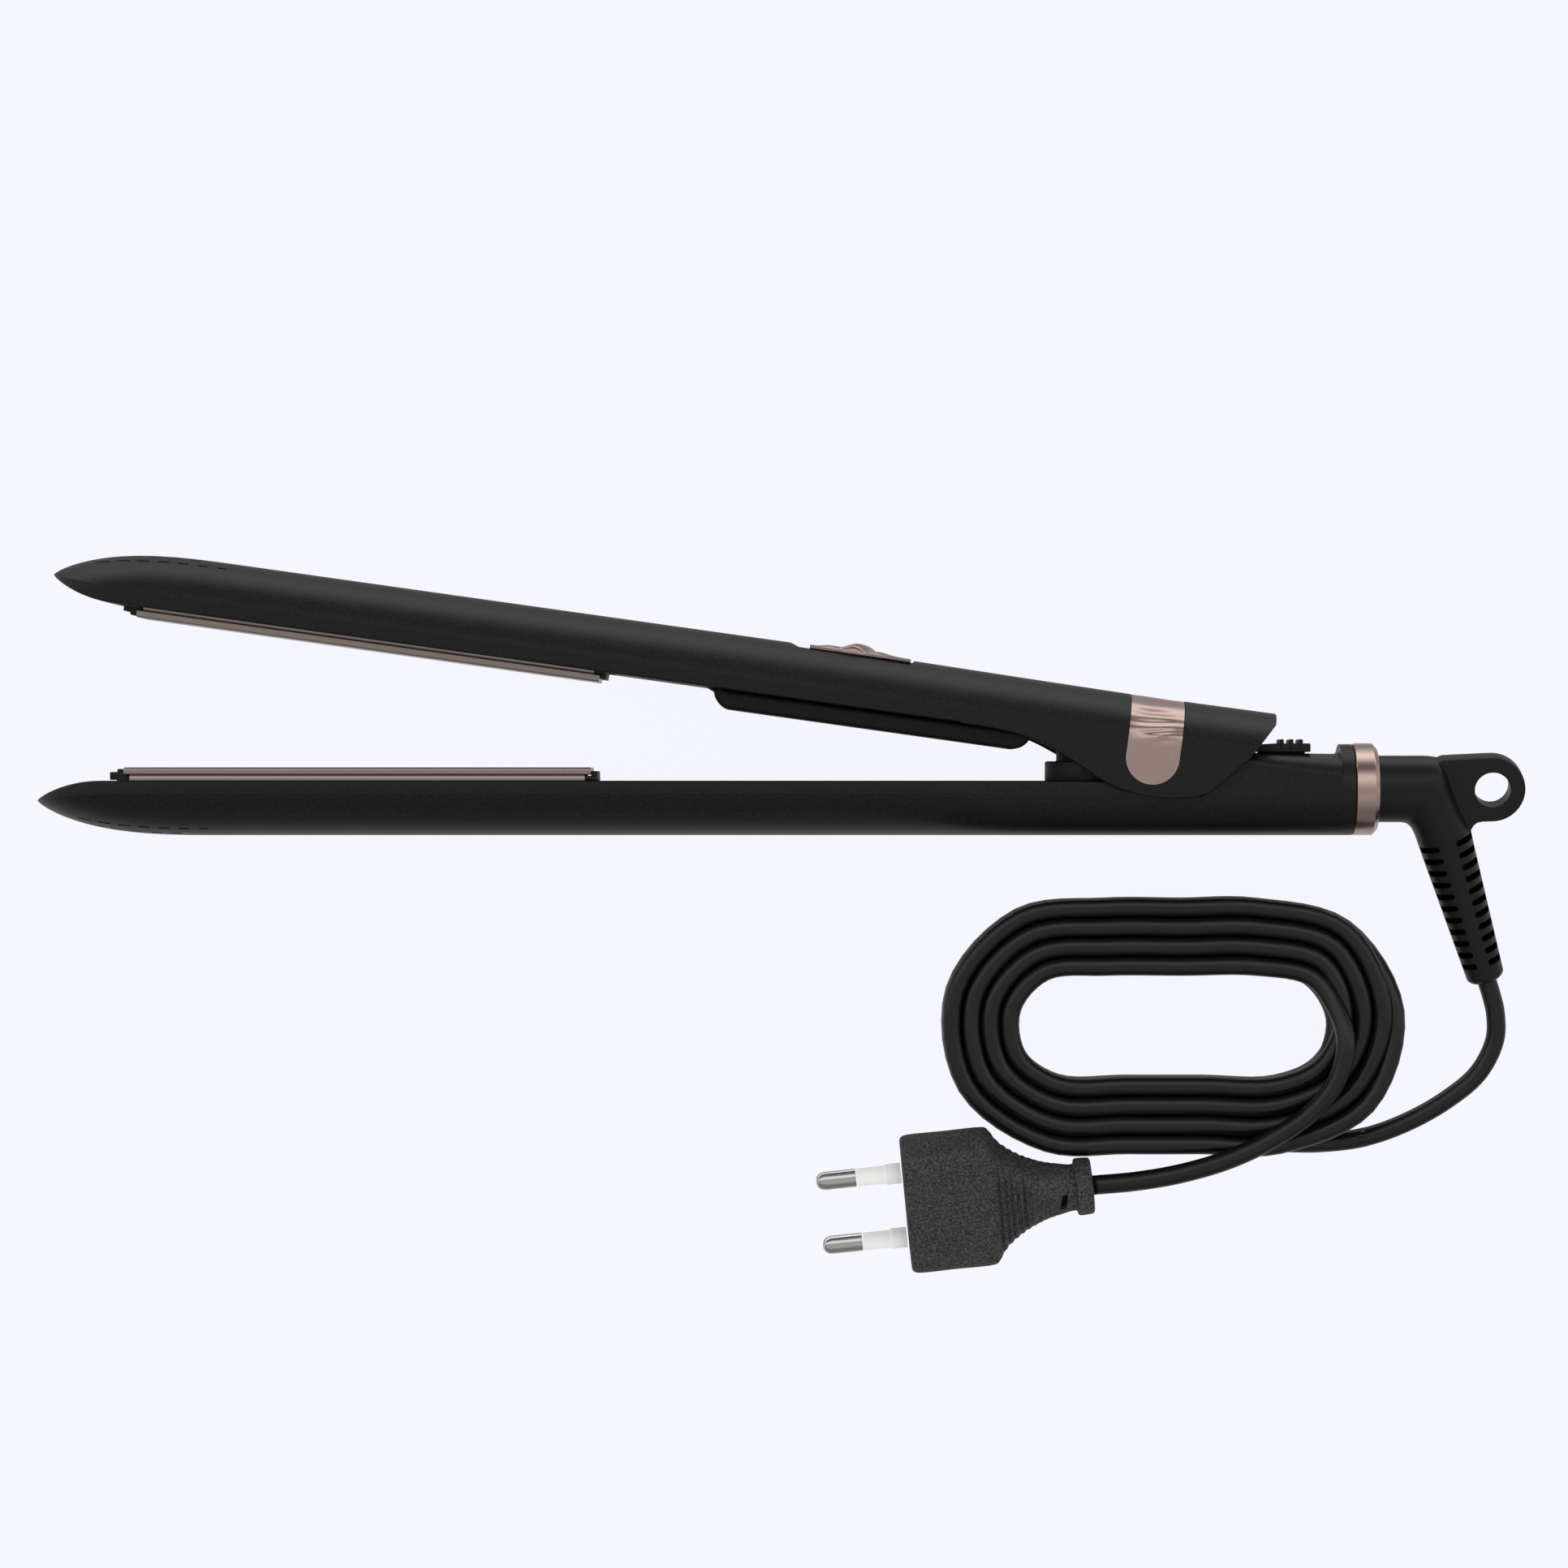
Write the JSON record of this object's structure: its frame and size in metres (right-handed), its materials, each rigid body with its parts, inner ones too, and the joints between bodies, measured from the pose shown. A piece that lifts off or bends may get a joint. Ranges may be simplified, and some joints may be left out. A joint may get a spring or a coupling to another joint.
{
  "type": "flat iron",
  "caption": "Hair straightener with two spring-opened arms, floating heated plates, slide switch, closing lock, swivel cord boot with hang loop, coiled mains cord and two-pin plug.",
  "frame": {"origin": "on the hinge axis, at the table face that the iron lies on", "axes": "+X along the lower arm towards the cord, +Y towards the upper arm, +Z along the hinge axis, up from the table"},
  "size_m": [0.3257, 0.1576, 0.03],
  "materials": {
    "charcoal": "satin fine grain",
    "black": "matte",
    "pad_rubber": "soft satin",
    "rose_metal": "polished rose gold",
    "plate_metal": "rose ceramic coating, satin",
    "ceramic": "unglazed",
    "silicone": "matte",
    "steel": "plain",
    "brass": "plain",
    "board_green": "solder mask",
    "boot_rubber": "matte",
    "cord_black": "smooth sheath",
    "plug_black": "grainy",
    "sleeve_white": "smooth",
    "pin_chrome": "polished"
  },
  "bodies": {
    "lower_arm": {"lower_shell": "charcoal", "lower_inner_cover": "black", "end_ring": "rose_metal", "hinge_pin": "steel", "hinge_bush_left": "brass", "hinge_bush_right": "brass", "spring_cup": "black", "hinge_spring": "steel", "swivel_socket": "brass", "thermal_fuse": "steel", "lower_screw_post_1": "black", "lower_screw_post_2": "black", "lower_screw_1": "steel", "lower_screw_2": "steel", "cord_lead": "cord_black", "cord_coil": "cord_black", "cord_tail": "cord_black", "plug_body": "plug_black", "plug_sleeve_1": "sleeve_white", "plug_sleeve_2": "sleeve_white", "plug_pin_1": "pin_chrome", "plug_pin_2": "pin_chrome"},
    "upper_arm": {"upper_shell": "charcoal", "hinge_band": "rose_metal", "handle_pad": "pad_rubber", "upper_inner_cover": "black", "control_board": "board_green", "switch_base": "black", "power_module": "board_green", "spring_sleeve": "black", "upper_screw_post_1": "black", "upper_screw_post_2": "black", "upper_screw_1": "steel", "upper_screw_2": "steel"},
    "lower_plate_unit": {"lower_plate": "plate_metal", "lower_plate_carrier": "black", "lower_heater": "ceramic", "lower_cushion_front": "silicone", "lower_cushion_rear": "silicone"},
    "upper_plate_unit": {"upper_plate": "plate_metal", "upper_plate_carrier": "black", "upper_heater": "ceramic", "upper_cushion_front": "silicone", "upper_cushion_rear": "silicone"},
    "switch": {"heat_switch": "rose_metal"},
    "lock": {"lock_slider": "black"},
    "boot": {"swivel_boot": "boot_rubber", "swivel_hub": "brass"}
  },
  "joints": [
    {"name": "arm_hinge", "type": "hinge", "parent": "lower_arm", "child": "upper_arm", "pos_m": [0, 0, 0.015], "axis": [0, 0, 1], "range_deg": [0, 8], "stiffness_Nm_per_rad": 4, "springref_deg": -11.46, "deforming": ["hinge_spring"]},
    {"name": "lower_plate_float", "type": "slide", "parent": "lower_arm", "child": "lower_plate_unit", "axis": [0, -1, 0], "range_m": [0, 0.0008], "stiffness_N_per_m": 2000},
    {"name": "upper_plate_float", "type": "slide", "parent": "upper_arm", "child": "upper_plate_unit", "axis": [0.1392, 0.9903, 0], "range_m": [0, 0.0008], "stiffness_N_per_m": 2000},
    {"name": "heat_switch_slide", "type": "slide", "parent": "upper_arm", "child": "switch", "axis": [-0.9903, 0.1392, 0], "range_m": [0, 0.0022]},
    {"name": "lock_slide", "type": "slide", "parent": "lower_arm", "child": "lock", "axis": [1, 0, 0], "range_m": [0, 0.0063]},
    {"name": "cord_swivel", "type": "hinge", "parent": "lower_arm", "child": "boot", "pos_m": [0.0354, -0.0016, 0.015], "axis": [-1, 0, 0], "continuous": true}
  ]
}
